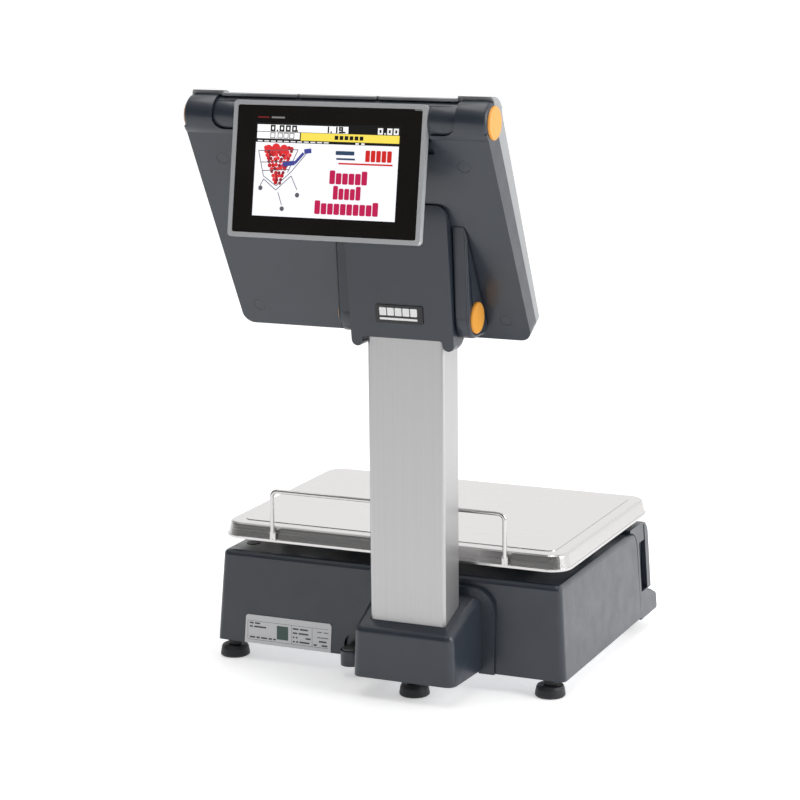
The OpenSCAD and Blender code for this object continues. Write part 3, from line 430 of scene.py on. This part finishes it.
def print_screen():
    """The customer screen's picture: price rows, a trolley of goods and blocks in place of words."""
    art = Print(plane_at(-2, 208, 539.5, 9.6), 76.1, 44.45, -1, -0.4)

    def piece(name, colour, layer, strength=1.0):
        art.make(name, "customer_display", glowing(name, colour, strength), layer)

    art.box(0, 0, 151, 89.5)
    piece("screen_backing", (0.010, 0.010, 0.011), 0, 0.3)
    art.box(0.6, 18.8, 150.4, 89)
    piece("screen_picture", (0.93, 0.93, 0.985), 1)
    art.box(1.4, 1.9, 97.4, 8.4)
    art.box(1.4, 9.0, 46.8, 15.2)
    piece("screen_rows", (1.0, 1.0, 1.0), 1)
    art.box(48.0, 8.8, 150.4, 16.2)
    piece("screen_item_row", (0.93, 0.74, 0.10), 1)

    art.digits("0.000", 15.5, 2.2, 6.0, 5.2, 1.6)
    art.digits("1.19", 73.0, 2.2, 6.0, 4.4, 1.6)
    for k in range(6):
        art.box(83.6 + k * 5.2, 10.6, 87.4 + k * 5.2, 14.4)
    art.box(42.4, 6.6, 44.8, 8.0)
    art.box(90.0, 6.6, 94.6, 8.0)
    piece("screen_figures", (0.012, 0.012, 0.014), 2, 0.4)
    art.digits("0.000", 15.5, 9.3, 5.6, 5.4, 0.9)
    piece("screen_tare_figures", (0.22, 0.22, 0.24), 2)
    art.digits("0.00", 128.0, 2.2, 6.0, 5.2, 1.6)
    for k in range(11):
        art.box(2.5 + k * 7.0, 17.0, 7.6 + k * 7.0, 18.1)
    art.box(105.5, 16.8, 109.0, 18.4)
    art.box(111.5, 16.8, 115.0, 18.4)
    piece("screen_total", (0.85, 0.85, 0.85), 2)

    # goods piled in the trolley
    chance = random.Random(7)
    reds = ([], [], [])
    for row in range(11):
        v = 24.0 + row * 3.3
        left, right = 9.0 + row * 1.25, 41.5 - row * 1.15
        count = max(2, int((right - left) / 3.3))
        for k in range(count):
            u = left + (k + 0.5) * (right - left) / count
            reds[chance.randrange(3)].append((u + chance.uniform(-0.6, 0.6), v + chance.uniform(-0.7, 0.7)))
    for index, colour in enumerate(((0.50, 0.015, 0.02), (0.72, 0.03, 0.035), (0.24, 0.012, 0.018))):
        for u, v in reds[index]:
            art.disc(u, v, 2.1 - 0.2 * index, 14)
        if index == 1:
            for u, v in ((14.5, 25.5), (22.5, 24.0), (31.0, 25.0)):
                art.disc(u, v, 4.4, 24)
        piece(f"screen_goods_{index + 1}", colour, 2 + index)

    # the trolley's basket, its frame and its wheels
    for start, end in (((4, 27), (46, 25)), ((4, 27), (10.5, 51)), ((46, 25), (36, 47)),
                       ((10.5, 51), (24.5, 60)), ((24.5, 60), (40, 46)), ((7, 38), (42, 36)),
                       ((9, 46), (38, 44)), ((11, 54), (7.5, 60)), ((11, 54), (24.5, 64)),
                       ((24.5, 64), (40, 50)), ((40, 50), (47, 63)), ((27, 66), (31.5, 78)),
                       ((57, 26), (40, 46))):
        art.stroke(start, end, 0.75)
    for u, v in ((8, 62.5), (47.5, 68), (32, 81.5)):
        art.disc(u, v, 2.3, 20)
    piece("screen_trolley", (0.10, 0.10, 0.12), 5)
    art.stroke((60, 25.5), (52.5, 26.5), 4.4)
    art.stroke((52, 28), (43, 38), 2.8)
    art.stroke((43, 37.6), (30.5, 39.5), 4.2)
    piece("screen_handle", (0.05, 0.06, 0.28), 6)

    art.box(85.5, 24.8, 105.0, 28.6, 0.8)
    art.box(86.5, 31.4, 106.0, 33.2)
    piece("screen_sign_dark", (0.025, 0.055, 0.11), 2)
    for k in range(5):
        art.box(116.5 + k * 5.6, 23.4, 121.2 + k * 5.6, 34.2, 1.0)
    art.box(89.0, 35.8, 145.0, 37.4)
    piece("screen_sign_red", (0.60, 0.015, 0.012), 2)

    # three rows of blocks in place of words
    for v, left, right, count in ((43.2, 80.5, 120.5, 6), (57.6, 85.0, 114.5, 5),
                                  (72.0, 66.5, 133.5, 10)):
        pitch = (right - left) / count
        for k in range(count):
            tall = k == 0 or k == count - 1
            art.box(left + k * pitch, v + (0 if tall else 2.4),
                    left + (k + 1) * pitch - 0.8, v + 13.0, 1.3)
    piece("screen_slogan", (0.50, 0.008, 0.075), 2)

    # thin strips above the picture and on the frame that give off their own light: a painted glow, not a lit
    # part of the screen
    art.box(1.5, -5.6, 13.5, -4.3)
    art.make("glass_painted_glow_red", "customer_display",
             glowing("glass_painted_glow_red", (0.16, 0.01, 0.012)))
    art.box(16.0, -5.8, 30.0, -4.2)
    art.box(164.5, -16.2, 173.0, -15.2)
    art.make("glass_painted_glow_grey", "customer_display",
             glowing("glass_painted_glow_grey", (0.20, 0.20, 0.20)))


def print_rating_plate(ink):
    """Short bars in place of the plate's text, inside ruled boxes, and one plain square."""
    art = Print(plane_at(0, 79.7, 18.5, 2.5), 164.6, 29.8, -1, 0.6)
    frame_lines = ((4, 5.0, 99, 5.35), (4, 25.4, 99, 25.75), (4, 5.0, 4.35, 25.75),
                   (56.0, 5.0, 56.35, 25.75), (80.0, 5.0, 80.35, 25.75))
    for box in frame_lines:
        art.box(*box)
    rows = ((6.5, 6.6, (4.6, 6.2)), (6.5, 10.4, (3.6, 14.5)), (6.5, 22.0, (6.4, 4.0, 7.4, 4.0, 3.2)),
            (57.5, 7.8, (6.8, 9.6)), (57.5, 12.4, (5.2, 11.6)), (57.5, 17.0, (2.0, 2.0)),
            (72.4, 17.0, (6.0,)),
            (57.5, 21.6, (2.4, 2.4, 11.8)), (88.0, 18.2, (9.0,)), (82.0, 22.4, (3.6,)), (91.4, 22.4, (6.6,)))
    for left, top, widths in rows:
        for width in widths:
            art.box(left, top, left + width, top + 1.8, 0.4)
            left += width + 1.5
    art.box(86.0, 8.6, 91.4, 9.5)
    art.box(93.6, 8.6, 99.0, 9.5)
    art.box(86.0, 14.4, 99.0, 15.3)
    art.make("plate_print", "base", ink)
    art.box(38.6, 7.6, 52.0, 22.4)
    art.make("plate_square", "base",
             moulded("plate_green", (0.045, 0.085, 0.07), (0.4, 0.5), 0.05))


def print_badge():
    """Plain white blocks over a line."""
    art = Print(plane_at(-48.5, 144.17, 395.3, -7.65), 25.25, 9.25, -1, 1.2)
    for k in range(5):
        art.box(4.6 + k * 8.2, 2.8, 11.8 + k * 8.2, 10.8, 0.7)
    art.box(4.6, 13.0, 44.6, 15.2)
    art.make("badge_print", "base",
             moulded("badge_white", (0.85, 0.85, 0.85), (0.3, 0.4), 0.02))


make_camera()
make_studio()
materials = make_materials()
finish_cad_nodes(materials)
print_screen()
print_rating_plate(moulded("ink", (0.05, 0.055, 0.06), (0.4, 0.5), 0.05))
print_badge()
